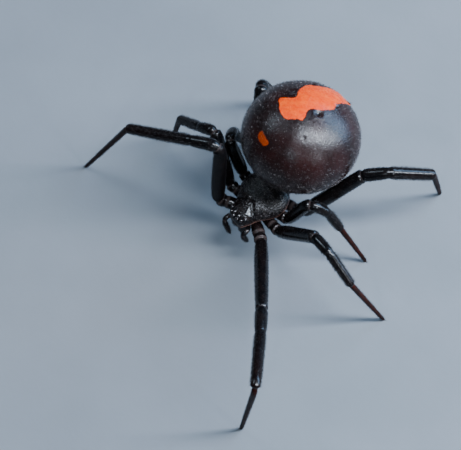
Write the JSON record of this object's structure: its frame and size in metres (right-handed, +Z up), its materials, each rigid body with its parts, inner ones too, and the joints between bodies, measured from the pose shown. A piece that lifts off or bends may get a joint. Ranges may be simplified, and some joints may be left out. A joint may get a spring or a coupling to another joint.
{
  "type": "redback spider",
  "caption": "Still figure of a grown female redback spider, standing, with a globe-shaped dark abdomen that carries an orange-red stripe and long glossy legs.",
  "frame": {"origin": "middle of the spider's outline, on the floor under it", "axes": "+Z up; the spider faces -Y, and its left side is +X"},
  "size_m": [0.0228, 0.0202, 0.0108],
  "materials": {
    "abdomen": "satin, very dark maroon brown with an orange-red stripe",
    "carapace": "satin, brown black, finely granular",
    "shell": "glossy black",
    "brown": "glossy dark red brown",
    "eye": "high gloss",
    "fang": "glossy dark red brown"
  },
  "bodies": {
    "root": {"abdomen": "abdomen", "carapace": "carapace", "sternum": "shell", "pedicel": "shell", "spinnerets": "shell", "eye_left_front_inner": "eye", "eye_left_front_outer": "eye", "eye_left_rear_inner": "eye", "eye_left_rear_outer": "eye", "eye_right_front_inner": "eye", "eye_right_front_outer": "eye", "eye_right_rear_inner": "eye", "eye_right_rear_outer": "eye", "jaw_left": "shell", "fang_left": "fang", "palp_left": "shell", "jaw_right": "shell", "fang_right": "fang", "palp_right": "shell", "leg_left_1_coxa": "shell", "leg_left_1_femur": "shell", "leg_left_1_patella": "shell", "leg_left_1_tibia": "shell", "leg_left_1_foot": "brown", "leg_left_2_coxa": "shell", "leg_left_2_femur": "shell", "leg_left_2_patella": "shell", "leg_left_2_tibia": "shell", "leg_left_2_foot": "brown", "leg_left_3_coxa": "shell", "leg_left_3_femur": "shell", "leg_left_3_patella": "shell", "leg_left_3_tibia": "shell", "leg_left_3_foot": "brown", "leg_left_4_coxa": "shell", "leg_left_4_femur": "shell", "leg_left_4_patella": "shell", "leg_left_4_tibia": "shell", "leg_left_4_foot": "brown", "leg_right_1_coxa": "shell", "leg_right_1_femur": "shell", "leg_right_1_patella": "shell", "leg_right_1_tibia": "shell", "leg_right_1_foot": "brown", "leg_right_2_coxa": "shell", "leg_right_2_femur": "shell", "leg_right_2_patella": "shell", "leg_right_2_tibia": "shell", "leg_right_2_foot": "brown", "leg_right_3_coxa": "shell", "leg_right_3_femur": "shell", "leg_right_3_patella": "shell", "leg_right_3_tibia": "shell", "leg_right_3_foot": "brown", "leg_right_4_coxa": "shell", "leg_right_4_femur": "shell", "leg_right_4_patella": "shell", "leg_right_4_tibia": "shell", "leg_right_4_foot": "brown"}
  },
  "joints": []
}
